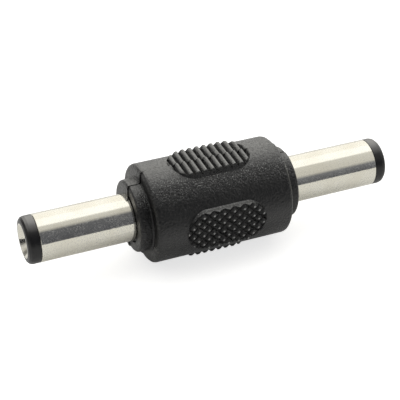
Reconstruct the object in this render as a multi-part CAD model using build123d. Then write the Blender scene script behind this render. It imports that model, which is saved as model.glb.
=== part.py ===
from build123d import *
from math import cos, pi, radians, sin, tan
import os

os.makedirs("parts", exist_ok=True)

# Plug-to-plug barrel coupler, in millimetres. X runs along the connector from the left plug to the
# right one, +Z is up, and the origin lies on the axis, halfway between the two tips.

# Grip body, one moulding
barrel_d = 11.5          # main barrel
barrel_len = 16.4
barrel_edge = 0.45       # rounding of its end edges
round_steps = 3          # flats that each turned rounding is made of
collar_d = 8.4           # stepped collar at each end
collar_len = 1.48
collar_edge = 0.3
collar_root = 0.15       # fillet-like bevel where the collar meets the barrel's end face
mould_shift = 0.12       # how far the front mould half sits along X from the back half
mould_step = 0.08        # how much smaller the front half's collars are, on the radius
recess_wide = 0.25       # shallow ring round the sleeve, in the front half's collar faces
recess_deep = 0.25

# Ribbed pads, top and bottom, and diamond pads, front and back, measured at their crests
pad_draft = 15.0         # slope of the pads' walls, in degrees
rib_count = 12           # the outline cuts the outer two in half
rib_pitch = 0.87
rib_slope = 55.0         # steepness of the ribs' flanks, which meet in V grooves, in degrees
rib_round = 0.156        # radius of the ribs' crests
rib_crest = 5.89         # height of the crests over the axis
rib_pad_len = 9.5
rib_pad_wide = 4.84
rib_pad_edge = 0.1       # bevel of the ribs' ends
diamond_pitch = 0.857    # between grooves, which run at 45 degrees
diamond_deep = 0.36
diamond_plane = 5.92     # height of the flat tips over the axis
diamond_pad_len = 9.5
diamond_pad_wide = 4.74
diamond_along = 0.14     # the pattern sits a little off the pad's middle
diamond_up = 0.12

# Plug inserts
sleeve_d = 5.5           # outer contact
sleeve_wall = 0.5
sleeve_bare = 10.9       # metal that shows between the collar and the tip ring
sleeve_chamfer = 0.1
tip_len = 1.4            # black ring at the tip
tip_d = 5.48
tip_round = 0.6
bore_d = 2.1             # takes the jack's centre pin
bore_len = 10.0
contact_wall = 0.35
mouth_d = 3.98           # flared mouth of the centre contact
mouth_lip = 0.12
mouth_deep = 0.9
flare_len = 0.8
flare_rim = 0.3
slot_wide = 0.35         # spring slots in the centre contact's tube
slot_len = 6.0
slot_back = 2.0          # from the start of the bore to the slots

# Rear of the inserts, inside the moulding
neck_d = 5.1             # groove round the sleeve, where the moulding grips it
neck_len = 1.3
neck_show = 0.06         # how far the groove reaches out of the collar's face
tag_set = 1.7            # from the barrel's end face back to the solder tag
boss_d = 5.1             # rear boss of the sleeve, and the washer's shoulder behind it
boss_len = 0.6
tag_thick = 0.4
tag_d = 7.0
lug_wide = 1.6
lug_len = 2.7
washer_shoulder = 0.4
washer_plug = 1.1
tail_d = 1.2
tail_len = 2.1
wire_d = 0.8
wire_cover_wall = 0.4
wire_gap = 0.1           # between a tail and the end of its wire, filled with solder
wire_on_lug = 1.6        # how far the ground wire laps each lug
solder_cover = 0.3       # solder round a tail, on the radius
solder_len = 1.45
lug_solder_r = 0.75
cover_back = 0.15        # from a solder joint to the insulation

# Derived places
barrel_r = barrel_d / 2
collar_r = collar_d / 2
sleeve_r = sleeve_d / 2
sleeve_in = sleeve_r - sleeve_wall
bore_r = bore_d / 2
contact_r = bore_r + contact_wall
mouth_r = mouth_d / 2
barrel_end = barrel_len / 2
collar_end = barrel_end + collar_len
metal_end = collar_end + sleeve_bare
tip_end = metal_end + tip_len
neck_front = collar_end + neck_show
neck_rear = neck_front - neck_len
tag_seat = barrel_end - tag_set
sleeve_rear = tag_seat - boss_len
washer_rear = sleeve_rear - washer_shoulder
liner_rear = sleeve_rear + washer_plug
contact_rear = washer_rear
tail_end = contact_rear - tail_len
bore_front = tip_end - mouth_deep
bore_rear = bore_front - bore_len
lug_end = tag_seat - tag_thick - lug_len
lug_low = -tag_d / 2
lug_top = lug_low + tag_thick
wire_r = wire_d / 2
ground_z = lug_top + wire_r
solder_front = tail_end + solder_len / 2
solder_rear = solder_front - solder_len
ground_end = lug_end + wire_on_lug
lug_solder_front = ground_end + wire_gap
cover_end = min(solder_rear, lug_end) - cover_back
rib_len = rib_count * rib_pitch
crest_half = rib_round * sin(radians(rib_slope))
crest_sink = rib_round * (1 - cos(radians(rib_slope)))
rib_sink = crest_sink + (rib_pitch / 2 - crest_half) * tan(radians(rib_slope))
reach = 4 * barrel_d


def turned(*points):
    """Solid of revolution about X, from (place along X, radius) points."""
    outline = Polyline(*[(x, r, 0) for x, r in points], close=True)
    return revolve(make_face(outline), axis=Axis.X, revolution_arc=360)


def rod(radius, x0, x1, z=0):
    return Pos((x0 + x1) / 2, 0, z) * Rot(0, 90, 0) * Cylinder(radius, x1 - x0)


def rounded(x, radius, edge):
    """Profile points of an outer edge's rounding, from the cylinder to the end face at x."""
    turns = [i * pi / 2 / round_steps for i in range(round_steps + 1)]
    return [(x - edge + edge * sin(a), radius - edge + edge * cos(a)) for a in turns]


def side(y_sign):
    """Half space in front of (-1) or behind (+1) the mould's parting plane."""
    return Pos(0, y_sign * reach / 2, 0) * Box(reach, reach, reach)


# Grip body
def turned_body(collar_radius):
    right = rounded(barrel_end, barrel_r, barrel_edge)
    right += [(barrel_end, collar_radius + collar_root), (barrel_end + collar_root, collar_radius)]
    right += rounded(collar_end, collar_radius, collar_edge) + [(collar_end, 0)]
    return turned(*[(-x, r) for x, r in reversed(right)], *right)


def drafted(plane, length, width, depth, edge=0):
    """Rounded-end block whose crest lies on the plane and whose walls spread below it."""
    block = extrude(plane * SlotOverall(length, width), amount=-depth, taper=-pad_draft)
    if edge:
        crest_face = block.faces().sort_by(Axis(plane.origin, plane.z_dir))[-1]
        block = chamfer(crest_face.edges(), edge)
    return block


# Ribbed pad: rounded ridges along X, drawn out along Y, cut to a rounded-end outline
rib_floor = rib_crest - 2 * rib_sink
groove_z = rib_crest - rib_sink
rib_lines = []
for i in range(rib_count):
    x0 = (i - rib_count / 2) * rib_pitch
    x1 = x0 + rib_pitch / 2
    foot, head = rib_crest - crest_sink, (x1, 0, rib_crest)
    rib_lines += [Line((x0, 0, groove_z), (x1 - crest_half, 0, foot)),
                  ThreePointArc((x1 - crest_half, 0, foot), head, (x1 + crest_half, 0, foot)),
                  Line((x1 + crest_half, 0, foot), (x0 + rib_pitch, 0, groove_z))]
rib_lines.append(Polyline((rib_len / 2, 0, groove_z), (rib_len / 2, 0, rib_floor - 1),
                          (-rib_len / 2, 0, rib_floor - 1), (-rib_len / 2, 0, groove_z)))
ribs = extrude(make_face(Wire(Curve() + rib_lines)), amount=rib_pad_wide, dir=(0, 1, 0), both=True)
crest = Plane.XY.offset(rib_crest)
rib_pad = ribs & drafted(crest, rib_pad_len, rib_pad_wide, 2 * rib_sink + 1, rib_pad_edge)
rib_pocket = drafted(crest, rib_pad_len, rib_pad_wide, 2 * rib_sink)

# Diamond pad: flat block with crossed V grooves, pointing to -Y
crest = Plane.XZ.offset(diamond_plane)
block = drafted(crest, diamond_pad_len, diamond_pad_wide, 2 * diamond_deep + 1)
diamond_pocket = drafted(crest, diamond_pad_len, diamond_pad_wide, 2 * diamond_deep)
cutter = Polyline((0, diamond_deep - diamond_plane, 0),
                  (-2 * diamond_deep, -diamond_plane - diamond_deep, 0),
                  (2 * diamond_deep, -diamond_plane - diamond_deep, 0), close=True)
cutter = extrude(make_face(cutter), amount=diamond_pad_len, dir=(0, 0, 1), both=True)
groove_span = (diamond_pad_len + diamond_pad_wide) / 2 * 0.5 ** 0.5
groove_count = int(groove_span / diamond_pitch + 0.5) + 1
places = [(i + 0.5) * diamond_pitch for i in range(-groove_count, groove_count)]
middle = Pos(diamond_along, 0, diamond_up)
grooves = [middle * Rot(0, turn, 0) * Pos(x, 0, 0) * cutter for turn in (45, -45) for x in places]
diamond_pad = block - grooves

halves = []
for y_sign in (-1, 1):
    half = turned_body(collar_r + y_sign * mould_step / 2) & side(y_sign)
    for turn in (0, 180):
        half -= Rot(turn, 0, 0) * rib_pocket & side(y_sign)
    facing = Rot(0, 0, 90 + 90 * y_sign)
    half -= facing * diamond_pocket
    for turn in (0, 180):
        half += Rot(turn, 0, 0) * rib_pad & side(y_sign)
    half += facing * diamond_pad
    if y_sign < 0:
        for x in (-1, 1):
            bottom = x * (collar_end - recess_deep)
            rim = sleeve_r + recess_wide
            half -= turned((bottom, 0), (bottom, rim), (x * reach, rim), (x * reach, 0))
    halves.append(Pos(-y_sign * mould_shift / 2, 0, 0) * half)
overmould = halves[0] + halves[1]

# Plug insert, drawn at the right end
sleeve_back = [(tag_seat, boss_d / 2), (tag_seat, sleeve_r), (neck_rear, sleeve_r), (neck_rear, neck_d / 2),
               (neck_front, neck_d / 2), (neck_front, sleeve_r)]
sleeve = turned((sleeve_rear, sleeve_in), (sleeve_rear, boss_d / 2), *sleeve_back,
                (metal_end - sleeve_chamfer, sleeve_r), (metal_end, sleeve_r - sleeve_chamfer),
                (metal_end, sleeve_in))

flare_rear = tip_end - flare_rim - flare_len
insulator = turned((liner_rear, contact_r), (liner_rear, sleeve_in), (metal_end, sleeve_in),
                   (metal_end, tip_d / 2), *rounded(tip_end, tip_d / 2, tip_round), (tip_end, mouth_r),
                   (tip_end - flare_rim, mouth_r), (flare_rear, contact_r))

contact = turned((tail_end, 0), (tail_end, tail_d / 2), (contact_rear, tail_d / 2),
                 (contact_rear, contact_r), (flare_rear, contact_r), (tip_end - flare_rim, mouth_r),
                 (tip_end, mouth_r), (tip_end, mouth_r - mouth_lip), (bore_front, bore_r),
                 (bore_rear, bore_r), (bore_rear, 0))
slot_start = bore_rear + slot_back
slot = Pos(slot_start + slot_len / 2, 0, 0) * Box(slot_len, slot_wide, 3 * contact_r)
contact -= slot

washer = turned((washer_rear, contact_r), (washer_rear, boss_d / 2),
                (sleeve_rear, boss_d / 2), (sleeve_rear, sleeve_in), (liner_rear, sleeve_in),
                (liner_rear, contact_r))

tag = turned((tag_seat - tag_thick, boss_d / 2), (tag_seat - tag_thick, tag_d / 2),
             (tag_seat, tag_d / 2), (tag_seat, boss_d / 2))
lug = Box(tag_seat - lug_end, lug_wide, tag_thick)
tag += Pos((lug_end + tag_seat) / 2, 0, (lug_low + lug_top) / 2) * lug

# Links between the two inserts
centre_wire = rod(wire_r, -(tail_end - wire_gap), tail_end - wire_gap)
ground_wire = rod(wire_r, -ground_end, ground_end, ground_z)
cover_r = wire_r + wire_cover_wall
centre_wire_cover = rod(cover_r, -cover_end, cover_end) - centre_wire
ground_wire_cover = rod(cover_r, -cover_end, cover_end, ground_z) - ground_wire

centre_solder = rod(tail_d / 2 + solder_cover, solder_rear, solder_front)
centre_solder -= [contact, centre_wire]

ground_solder = rod(lug_solder_r, lug_end, lug_solder_front, ground_z)
ground_solder -= Pos(0, 0, lug_top - reach / 2) * Box(reach, reach, reach)
ground_solder -= ground_wire

# Seat the inserts in the moulding
insert_shape = turned((washer_rear, 0), (washer_rear, boss_d / 2), *sleeve_back, (metal_end, sleeve_r),
                      (metal_end, 0))
tail = rod(tail_d / 2, tail_end, contact_rear)
turn_left = Rot(0, 0, 180)
for place in (Pos(0, 0, 0), turn_left):
    for solid in (insert_shape, tail, tag, centre_solder, ground_solder):
        overmould -= place * solid
overmould -= [centre_wire, ground_wire, centre_wire_cover, ground_wire_cover]

pieces = {"overmould_body": overmould, "centre_wire": centre_wire, "ground_wire": ground_wire,
          "centre_wire_cover": centre_wire_cover, "ground_wire_cover": ground_wire_cover}
ends = {"outer_sleeve": sleeve, "tip_insulator": insulator, "centre_contact": contact,
        "rear_washer": washer, "ground_tag": tag, "centre_solder": centre_solder,
        "ground_solder": ground_solder}
for name, solid in ends.items():
    pieces[name + "_right"] = solid
    pieces[name + "_left"] = turn_left * solid

for name, solid in pieces.items():
    export_step(solid, "parts/" + name + ".step")
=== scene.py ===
from math import radians

import bpy
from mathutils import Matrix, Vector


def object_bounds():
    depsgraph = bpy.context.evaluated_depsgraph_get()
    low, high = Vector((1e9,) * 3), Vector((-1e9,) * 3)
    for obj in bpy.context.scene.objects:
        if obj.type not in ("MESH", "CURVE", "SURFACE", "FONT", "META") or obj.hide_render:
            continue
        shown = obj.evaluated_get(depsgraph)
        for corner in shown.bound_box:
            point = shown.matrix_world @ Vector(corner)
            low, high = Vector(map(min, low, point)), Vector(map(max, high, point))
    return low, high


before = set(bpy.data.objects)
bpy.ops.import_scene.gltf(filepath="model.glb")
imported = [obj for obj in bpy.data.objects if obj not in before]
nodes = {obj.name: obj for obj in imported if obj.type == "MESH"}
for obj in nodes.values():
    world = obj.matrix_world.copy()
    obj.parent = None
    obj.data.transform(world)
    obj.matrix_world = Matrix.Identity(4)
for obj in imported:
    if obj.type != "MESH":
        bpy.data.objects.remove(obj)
cad_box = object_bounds()

# Places on the grip body, in metres
floor_height = cad_box[0][2]    # under the crests of the lower ribs
tip_plane = cad_box[1][1]       # tips of the diamond pads, front and back
crest_plane = cad_box[1][2]     # crests of the ribbed pads, top and bottom
barrel_side = 0.00575           # radius of the barrel
pad_end = 0.0047                # half the pads' length, just inside their sloping walls
pad_side = 0.0023               # half the pads' width, just inside the same walls
dust_highlight_thins = 0.0053             # in Y, on the diamond pads' upper walls, a little over their foot
dust_highlight_thinnest = 0.0054          # in Y, on the same walls


# Short calls that build the shader nodes of a material or a world
class Graph:
    def __init__(self, owner):
        owner.use_nodes = True
        self.tree = owner.node_tree
        self.tree.nodes.clear()

    def add(self, kind, inputs=None, **settings):
        node = self.tree.nodes.new(kind)
        for name, value in settings.items():
            setattr(node, name, value)
        for name, value in (inputs or {}).items():
            self.put(node.inputs[name], value)
        return node

    def put(self, socket, value):
        """Links a socket to a value that is a socket too, and otherwise sets it."""
        if isinstance(value, bpy.types.NodeSocket):
            self.tree.links.new(value, socket)
        else:
            socket.default_value = value

    def math(self, operation, *values, clamp=False):
        node = self.add("ShaderNodeMath", operation=operation, use_clamp=clamp)
        for socket, value in zip(node.inputs, values):
            self.put(socket, value)
        return node.outputs[0]

    def times(self, first, *others):
        for other in others:
            first = self.math("MULTIPLY", first, other)
        return first

    def split(self, vector):
        return self.add("ShaderNodeSeparateXYZ", {"Vector": vector}).outputs

    def noise(self, place, scale, detail, roughness):
        inputs = {"Vector": place, "Scale": scale, "Detail": detail, "Roughness": roughness}
        return self.add("ShaderNodeTexNoise", inputs).outputs[0]

    def fade(self, value, start, end, first=0.0, last=1.0):
        """Goes evenly from first to last while the value goes from start to end."""
        inputs = {"Value": value, "From Min": start, "From Max": end, "To Min": first, "To Max": last}
        return self.add("ShaderNodeMapRange", inputs).outputs["Result"]

    def ramp(self, value, stops):
        """A colour for each value from 0 to 1. A stop's colour may be one number, for a grey."""
        node = self.add("ShaderNodeValToRGB", {"Fac": value})
        elements = node.color_ramp.elements
        while len(elements) < len(stops):
            elements.new(0.5)
        for element, (position, colour) in zip(elements, stops):
            element.position = position
            element.color = (*colour, 1) if isinstance(colour, tuple) else (colour, colour, colour, 1)
        return node.outputs["Color"]

    def mix(self, share, first, second, blend="MIX"):
        node = self.add("ShaderNodeMix", data_type="RGBA", blend_type=blend)
        for socket, value in zip((node.inputs[0], node.inputs[6], node.inputs[7]), (share, first, second)):
            self.put(socket, (*value, 1) if isinstance(value, tuple) else value)
        return node.outputs[2]

    def bump(self, shader, height, strength, distance):
        inputs = {"Height": height, "Strength": strength, "Distance": distance}
        self.put(shader.inputs["Normal"], self.add("ShaderNodeBump", inputs).outputs[0])


def surface(name):
    """A new material with a Principled shader, and the object's own coordinates in metres."""
    material = bpy.data.materials.new(name)
    graph = Graph(material)
    shader = graph.add("ShaderNodeBsdfPrincipled")
    graph.output = graph.add("ShaderNodeOutputMaterial", {"Surface": shader.outputs[0]})
    place = graph.add("ShaderNodeTexCoord").outputs["Object"]
    return material, graph, shader, place


def upward(graph):
    """How far a surface faces up, which is where dust settles and where a highlight is painted."""
    return graph.split(graph.add("ShaderNodeNewGeometry").outputs["Normal"])["Z"]


def paint(material, *names):
    for name in names:
        slots = nodes[name].material_slots
        for slot in slots:
            slot.material = material
        if not len(slots):
            nodes[name].data.materials.append(material)


# Black moulded vinyl, with the fine grain of a sparked mould
def vinyl():
    material, g, shader, place = surface("moulded_vinyl")
    grain = g.noise(place, scale=4800.0, detail=2.0, roughness=0.6)
    coarse = g.noise(place, scale=2400.0, detail=2.0, roughness=0.5)
    cloud = g.noise(place, scale=260.0, detail=4.0, roughness=0.55)
    speck = g.noise(place, scale=7200.0, detail=1.0, roughness=0.5)
    colour = g.ramp(g.math("MULTIPLY_ADD", grain, 0.7, g.times(cloud, 0.3)),
                    [(0.35, 0.003), (0.6, 0.005), (0.7, 0.02)])

    # Distances from the frame's planes through the origin
    parts = g.split(place)
    x, y, z = [g.math("ABSOLUTE", parts[axis]) for axis in "XYZ"]
    up = upward(g)

    # Painted glints on the specks of the grain where they face up, and painted light on the pyramids'
    # flanks, a little paler than the barrel
    painted_glint = g.times(g.fade(speck, 0.59, 0.67), g.fade(up, 0.62, 0.88, last=0.8))
    colour = g.mix(painted_glint, colour, (0.34, 0.34, 0.33))
    painted_flank_light = g.times(g.fade(y, barrel_side - 0.0002, barrel_side), g.fade(z, pad_side, pad_side - 0.0001))
    colour = g.mix(painted_flank_light, colour, (0.03, 0.03, 0.0295))

    # Dust and a painted highlight on what faces up. On the diamond pads' upper walls it is thin between the
    # foot and the edge
    dust_and_painted_highlight = g.times(g.ramp(up, [(0.84, 0.0), (0.93, 0.35), (0.975, 0.8), (0.998, 1.0)]),
                   g.fade(grain, 0.35, 0.65, first=0.45, last=1.4),
                   g.fade(y, dust_highlight_thins, dust_highlight_thinnest, first=1.0, last=0.4),
                   g.fade(y, dust_highlight_thinnest, tip_plane, first=1.0, last=3.7))
    colour = g.mix(dust_and_painted_highlight, colour, (0.19, 0.19, 0.182))

    # Painted highlights on the tops of the ribs, their near and far ends, and the tips of the diamonds
    along = g.fade(x, pad_end + 0.0001, pad_end)
    crest_highlight = g.times(g.fade(z, crest_plane - 0.00027, crest_plane - 0.00011), along,
                    g.fade(y, pad_side + 0.00005, pad_side - 0.00005))
    colour = g.mix(crest_highlight, colour, (0.28, 0.28, 0.268))
    lip_highlight = g.times(g.fade(z, crest_plane - 0.00017, crest_plane - 0.00007), along,
                  g.fade(y, pad_side - 0.0002, pad_side - 0.0001), g.fade(y, pad_side + 0.0001, pad_side))
    colour = g.mix(lip_highlight, colour, (0.34, 0.34, 0.33))
    tip = g.fade(y, tip_plane - 0.00006, tip_plane - 0.000015)
    g.put(shader.inputs["Base Color"], g.mix(tip, colour, (0.45, 0.45, 0.44)))

    g.put(shader.inputs["Roughness"], g.fade(cloud, 0.3, 0.75, first=0.26, last=0.32))
    shader.inputs["IOR"].default_value = 1.55
    height = g.math("MULTIPLY_ADD", grain, 0.7, g.times(coarse, 0.4))
    g.bump(shader, height, strength=0.8, distance=0.0002)
    return material


# Nickel plate on a turned sleeve: a soft haze, a faint grain along the axis, and small marks that scatter
def plate():
    material, g, shader, place = surface("nickel_plating")
    stretch = g.add("ShaderNodeMapping", {"Vector": place, "Scale": (0.3, 1.0, 1.0)}).outputs[0]
    streak = g.noise(stretch, scale=2600.0, detail=3.0, roughness=0.6)
    speck = g.noise(place, scale=5600.0, detail=2.0, roughness=0.7)
    haze = g.noise(place, scale=420.0, detail=3.0, roughness=0.55)
    g.put(shader.inputs["Base Color"], g.ramp(haze, [(0.3, (0.79, 0.76, 0.66)), (0.7, (0.85, 0.83, 0.735))]))
    g.put(shader.inputs["Roughness"], g.fade(haze, 0.3, 0.75, first=0.06, last=0.11))
    shader.inputs["Metallic"].default_value = 1.0
    height = g.math("MULTIPLY_ADD", streak, 0.5, g.times(speck, 0.6))
    g.bump(shader, height, strength=0.3, distance=0.00001)

    scatter = g.add("ShaderNodeBsdfAnisotropic", {"Color": (0.95, 0.94, 0.9, 1), "Roughness": 0.6})
    spots = g.math("MULTIPLY_ADD", haze, 0.35, g.times(speck, 0.8))
    marks = g.fade(spots, 0.55, 0.7, first=0.02, last=0.26)
    whole = g.add("ShaderNodeMixShader", {0: marks, 1: shader.outputs[0], 2: scatter.outputs[0]})
    g.put(g.output.inputs["Surface"], whole.outputs[0])
    return material


# Smooth resins: the tip rings, the washers and the wires' insulation
def resin(name, dark, light, rough):
    material, g, shader, place = surface(name)
    cloud = g.noise(place, scale=900.0, detail=3.0, roughness=0.5)
    # Dust and a painted highlight on what faces up
    dust_and_painted_highlight = g.ramp(upward(g), [(0.78, 0.0), (0.93, 0.14), (0.998, 0.34)])
    colour = g.mix(dust_and_painted_highlight, g.ramp(cloud, [(0.3, dark), (0.75, light)]), (0.8, 0.79, 0.76))
    g.put(shader.inputs["Base Color"], colour)
    g.put(shader.inputs["Roughness"], g.fade(cloud, 0.3, 0.75, first=rough, last=rough + 0.08))
    fine = g.noise(place, scale=5200.0, detail=2.0, roughness=0.6)
    g.bump(shader, fine, strength=0.18, distance=0.00003)
    return material


# Bare metal of the hidden links: tags, drawn wire and set solder
def metal(name, dark, light, rough, scale):
    material, g, shader, place = surface(name)
    patch = g.noise(place, scale, detail=4.0, roughness=0.6)
    g.put(shader.inputs["Base Color"], g.ramp(patch, [(0.3, dark), (0.7, light)]))
    g.put(shader.inputs["Roughness"], g.fade(patch, 0.3, 0.7, first=rough, last=rough + 0.12))
    shader.inputs["Metallic"].default_value = 1.0
    g.bump(shader, patch, strength=0.3, distance=0.00005)
    return material


def both(*names):
    return [name + side for name in names for side in ("_left", "_right")]


# What each piece is made of
tip_black = resin("tip_resin", (0.008, 0.008, 0.0085), (0.014, 0.014, 0.0145), rough=0.3)
natural = resin("natural_resin", (0.72, 0.68, 0.58), (0.8, 0.77, 0.68), rough=0.45)
red = resin("red_insulation", (0.36, 0.02, 0.02), (0.5, 0.035, 0.03), rough=0.42)
black = resin("black_insulation", (0.02, 0.02, 0.02), (0.04, 0.04, 0.04), rough=0.42)
brass = metal("tinned_brass", (0.62, 0.60, 0.55), (0.74, 0.72, 0.67), rough=0.28, scale=1500.0)
solder = metal("set_solder", (0.55, 0.55, 0.57), (0.70, 0.70, 0.72), rough=0.2, scale=2200.0)
wire = metal("tinned_wire", (0.66, 0.60, 0.52), (0.76, 0.71, 0.64), rough=0.25, scale=3000.0)

paint(vinyl(), "overmould_body")
paint(plate(), *both("outer_sleeve", "centre_contact"))
paint(tip_black, *both("tip_insulator"))
paint(natural, *both("rear_washer"))
paint(brass, *both("ground_tag"))
paint(solder, *both("centre_solder", "ground_solder"))
paint(wire, "centre_wire", "ground_wire")
paint(red, "centre_wire_cover")
paint(black, "ground_wire_cover")

# White floor, lifted to white for the camera and a little in reflections, with the object's shadow kept
bpy.ops.mesh.primitive_plane_add(size=1.6, location=(0, 0, floor_height))
floor = bpy.context.object
floor.name = "floor"
paper = bpy.data.materials.new("white_paper")
g = Graph(paper)
rays = g.add("ShaderNodeLightPath").outputs
seen = g.math("MULTIPLY_ADD", rays["Is Camera Ray"], 0.72, g.times(rays["Is Glossy Ray"], 0.13))
lift = g.add("ShaderNodeEmission", {"Color": (1, 1, 1, 1), "Strength": seen})
matt = g.add("ShaderNodeBsdfDiffuse", {"Color": (0.8, 0.8, 0.79, 1)})
paper_shader = g.add("ShaderNodeAddShader", {0: matt.outputs[0], 1: lift.outputs[0]})
g.add("ShaderNodeOutputMaterial", {"Surface": paper_shader.outputs[0]})
floor.data.materials.append(paper)

# Studio light, by how far a direction has turned about X from the front (0) over the top to the back (1).
# It is broad and bright from above and behind, dark in front, where it reaches lower on the right, and
# dim low on the left.
world = bpy.data.worlds.new("studio")
bpy.context.scene.world = world
g = Graph(world)
ray = g.split(g.add("ShaderNodeTexCoord").outputs["Generated"])
turn = g.math("ARCTAN2", ray["Z"], g.times(ray["Y"], -1.0))
turn = g.math("DIVIDE", turn, radians(180), clamp=True)
over = [(0.465, (0.7, 0.69, 0.66)), (0.5, (1.29, 1.29, 1.28)), (0.69, (1.29, 1.28, 1.27)),
        (0.74, (1.15, 1.13, 1.08)), (1.0, (1.14, 1.12, 1.07))]
west = [(0.0, (0.086, 0.09, 0.106)), (0.3, (0.115, 0.12, 0.138)), (0.375, (0.6, 0.59, 0.56))]
east = [(0.0, (0.1, 0.105, 0.123)), (0.16, (0.18, 0.187, 0.212)), (0.235, (0.64, 0.63, 0.6))]
sky = g.mix(g.fade(ray["X"], 0.29, 0.38), g.ramp(turn, west + over), g.ramp(turn, east + over))
left = g.fade(ray["X"], -0.15, -0.45)
under = g.fade(ray["Z"], 0.55, 0.3)
shade = g.math("MULTIPLY_ADD", g.times(left, under), -0.85, 1.0)
light = g.add("ShaderNodeBackground", {"Color": g.mix(1.0, sky, shade, "MULTIPLY"), "Strength": 1.0})
blank = g.add("ShaderNodeBackground", {"Color": (1, 1, 1, 1), "Strength": 1.0})
camera_ray = g.add("ShaderNodeLightPath").outputs["Is Camera Ray"]
shown = g.add("ShaderNodeMixShader", {0: camera_ray, 1: light.outputs[0], 2: blank.outputs[0]})
g.add("ShaderNodeOutputWorld", {"Surface": shown.outputs[0]})

# Camera, fitted to the object's edges in the photograph
lens = bpy.data.cameras.new("camera")
lens.sensor_width = 36.0
lens.lens = 112.67
lens.clip_start = 0.005
lens.clip_end = 20.0
camera = bpy.data.objects.new("camera", lens)
camera.location = (-0.046309, -0.107409, 0.08412)
camera.rotation_euler = (radians(54.1965), radians(-0.7262), radians(-22.3718))
bpy.context.scene.collection.objects.link(camera)
bpy.context.scene.camera = camera
bpy.context.scene.view_settings.view_transform = "Standard"
